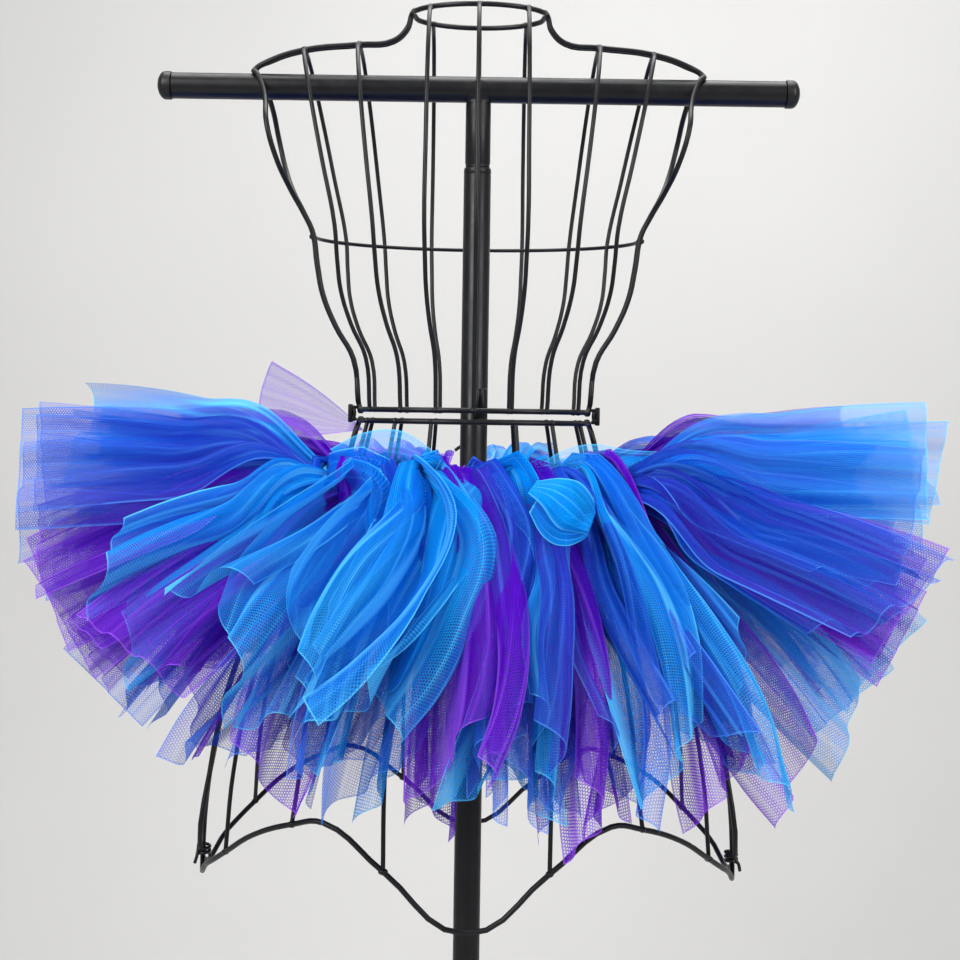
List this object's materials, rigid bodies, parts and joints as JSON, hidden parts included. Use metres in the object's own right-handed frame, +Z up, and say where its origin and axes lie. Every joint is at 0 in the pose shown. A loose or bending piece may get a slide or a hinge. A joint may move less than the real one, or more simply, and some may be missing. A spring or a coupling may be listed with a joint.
{
  "type": "tutu skirt on a wire dress form",
  "caption": "Tied tulle tutu skirt with a ribbon waistband, layered blue and violet tails, on a wire dress form with a pole, cross bar and round base.",
  "frame": {"origin": "on the floor, at the middle of the base plate's underside, under the pole", "axes": "+Z up along the pole, -Y towards the viewer and the front of the skirt, +X along the cross bar"},
  "size_m": [0.9146, 0.8508, 1.4762],
  "materials": {
    "turquoise_tulle": "sheer matte nylon net",
    "royal_blue_tulle": "sheer matte nylon net",
    "violet_tulle": "sheer matte nylon net",
    "navy_ribbon": "satin ribbon",
    "black_steel": "satin black powder coat",
    "black_plastic": "satin black plastic"
  },
  "bodies": {
    "root": {"base_plate": "black_steel", "pole": "black_steel", "upper_pole": "black_steel", "cross_bar": "black_steel", "bodice_front": "black_steel", "bodice_back": "black_steel", "hip_front": "black_steel", "hip_back": "black_steel", "waist_clamp_left": "black_steel", "waist_clamp_right": "black_steel", "hem_clamp_left": "black_steel", "hem_clamp_right": "black_steel", "pole_bracket": "black_steel", "pole_pin": "black_steel", "bar_cap_left": "black_plastic", "bar_cap_right": "black_plastic", "waistband": "navy_ribbon", "tulle_strip_01": "royal_blue_tulle", "tulle_strip_02": "turquoise_tulle", "tulle_strip_03": "violet_tulle", "tulle_strip_04": "royal_blue_tulle", "tulle_strip_05": "turquoise_tulle", "tulle_strip_06": "violet_tulle", "tulle_strip_07": "royal_blue_tulle", "tulle_strip_08": "violet_tulle", "tulle_strip_09": "turquoise_tulle", "tulle_strip_10": "turquoise_tulle", "tulle_strip_11": "royal_blue_tulle", "tulle_strip_12": "violet_tulle", "tulle_strip_13": "violet_tulle", "tulle_strip_14": "royal_blue_tulle", "tulle_strip_15": "turquoise_tulle", "tulle_strip_16": "royal_blue_tulle", "tulle_strip_17": "turquoise_tulle", "tulle_strip_18": "violet_tulle", "tulle_strip_19": "turquoise_tulle", "tulle_strip_20": "royal_blue_tulle", "tulle_strip_21": "royal_blue_tulle", "tulle_strip_22": "violet_tulle", "tulle_strip_23": "turquoise_tulle", "tulle_strip_24": "royal_blue_tulle", "tulle_strip_25": "violet_tulle", "tulle_strip_26": "turquoise_tulle", "tulle_strip_27": "royal_blue_tulle", "tulle_strip_28": "turquoise_tulle", "tulle_strip_29": "royal_blue_tulle", "tulle_strip_30": "violet_tulle", "tulle_strip_31": "royal_blue_tulle", "tulle_strip_32": "violet_tulle", "tulle_strip_33": "royal_blue_tulle", "tulle_strip_34": "turquoise_tulle", "tulle_strip_35": "violet_tulle", "tulle_strip_36": "royal_blue_tulle", "tulle_strip_37": "turquoise_tulle", "tulle_strip_38": "turquoise_tulle", "tulle_strip_39": "violet_tulle", "raised_tail": "violet_tulle", "front_curl_left": "turquoise_tulle", "front_curl_right": "turquoise_tulle"}
  },
  "joints": []
}
